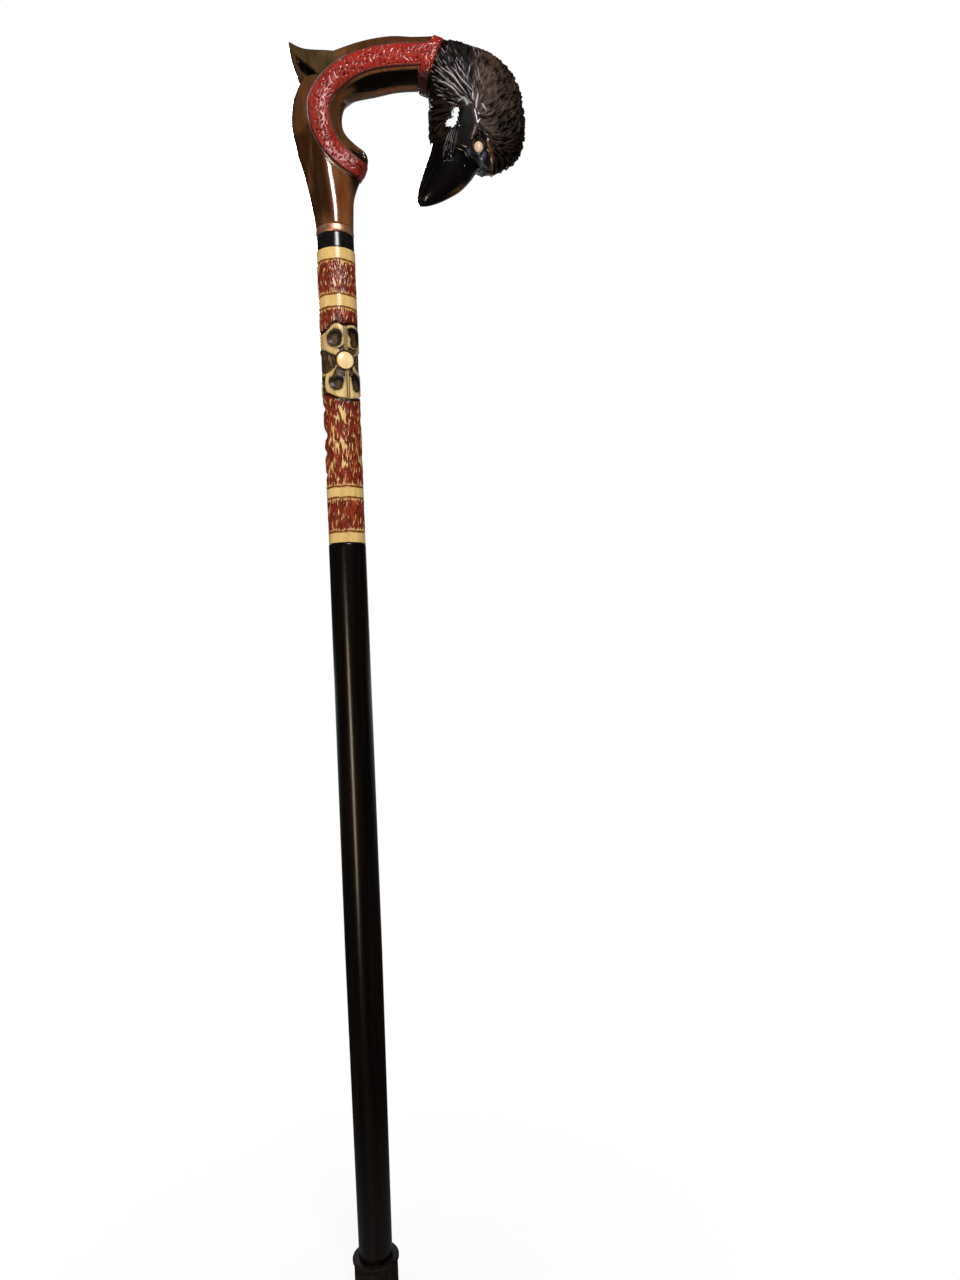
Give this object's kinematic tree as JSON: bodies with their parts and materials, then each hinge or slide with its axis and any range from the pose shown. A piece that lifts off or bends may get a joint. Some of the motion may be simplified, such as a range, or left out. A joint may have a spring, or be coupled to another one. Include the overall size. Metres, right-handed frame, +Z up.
{
  "type": "carved walking cane",
  "caption": "Walking cane with a carved bird's-head crook, inlaid red strips, a flower-carved upper shaft, a dark stained lower shaft and a rubber foot.",
  "frame": {"origin": "middle of the rubber foot's underside, on the shaft's axis", "axes": "+Z up along the shaft; +X from the shaft towards the bird's head; the side that the picture shows faces -Y"},
  "size_m": [0.1651, 0.0406, 0.8949],
  "materials": {
    "foot_rubber": "matt, worn at the lip",
    "steel": "plain",
    "shaft_stain": "dark stain under satin lacquer",
    "brass": "plain",
    "bare_wood": "bare wood with stained carving under gloss lacquer",
    "cream_wood": "gloss lacquer",
    "black_ring": "gloss black",
    "copper": "bright copper",
    "handle_lacquer": "brown stain under gloss lacquer",
    "red_stain": "red stain with small gouge marks under gloss lacquer",
    "dowel_wood": "bare",
    "feather_stain": "dark stain over carved feathers under gloss lacquer",
    "beak_lacquer": "black gloss lacquer",
    "cream_bead": "gloss"
  },
  "bodies": {
    "root": {"rubber_foot": "foot_rubber", "foot_disc": "steel", "lower_shaft": "shaft_stain", "lower_insert": "brass", "joint_stud": "steel", "carved_section": "bare_wood", "flower_button_front": "cream_wood", "flower_button_back": "cream_wood", "upper_insert": "brass", "handle_stud": "steel", "black_ring": "black_ring", "copper_ring": "copper", "handle": "handle_lacquer", "red_inlay_front": "red_stain", "red_inlay_back": "red_stain", "red_collar": "red_stain", "head_dowel": "dowel_wood", "bird_head": "feather_stain", "beak": "beak_lacquer", "eye_bead_front": "cream_bead", "eye_bead_back": "cream_bead"}
  },
  "joints": []
}
